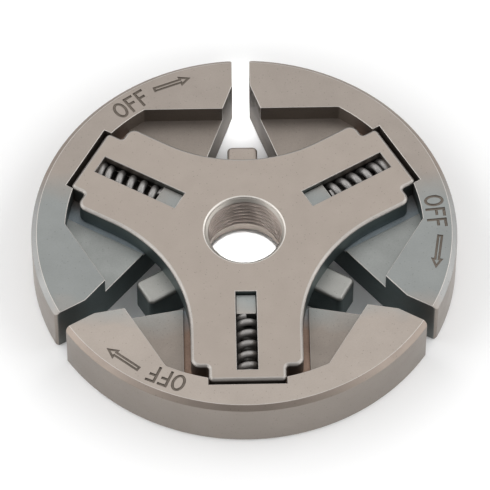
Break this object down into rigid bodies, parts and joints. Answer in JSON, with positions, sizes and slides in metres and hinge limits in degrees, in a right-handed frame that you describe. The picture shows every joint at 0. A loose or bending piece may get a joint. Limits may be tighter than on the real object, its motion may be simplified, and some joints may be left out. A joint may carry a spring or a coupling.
{
  "type": "centrifugal clutch",
  "caption": "Centrifugal chain saw clutch: a star-shaped hub with a threaded bore, and sprung shoes that slide out along its arms to grip a drum.",
  "frame": {"origin": "where the crankshaft's axis meets the back face of the hub", "axes": "+Z along the crankshaft's axis, out of the hub's star face; -Y along the front arm"},
  "size_m": [0.076, 0.0759, 0.0104],
  "materials": {
    "hub_steel": "tumbled sintered steel, satin",
    "shoe_steel": "tumbled sintered steel, satin, with a ground rim",
    "spring_steel": "drawn wire, lightly oiled"
  },
  "bodies": {
    "hub": {"hub": "hub_steel", "spring_right": "spring_steel", "spring_left": "spring_steel", "spring_front": "spring_steel"},
    "shoe_right": {"shoe_right": "shoe_steel"},
    "shoe_left": {"shoe_left": "shoe_steel"},
    "shoe_front": {"shoe_front": "shoe_steel"}
  },
  "joints": [
    {"name": "shoe_right_slide", "type": "slide", "parent": "hub", "child": "shoe_right", "axis": [0.866, 0.5, 0], "range_m": [0, 0.001], "stiffness_N_per_m": 15000, "deforming": ["spring_right"]},
    {"name": "shoe_left_slide", "type": "slide", "parent": "hub", "child": "shoe_left", "axis": [-0.866, 0.5, 0], "range_m": [0, 0.001], "stiffness_N_per_m": 15000, "deforming": ["spring_left"]},
    {"name": "shoe_front_slide", "type": "slide", "parent": "hub", "child": "shoe_front", "axis": [0, -1, 0], "range_m": [0, 0.001], "stiffness_N_per_m": 15000, "deforming": ["spring_front"]}
  ]
}
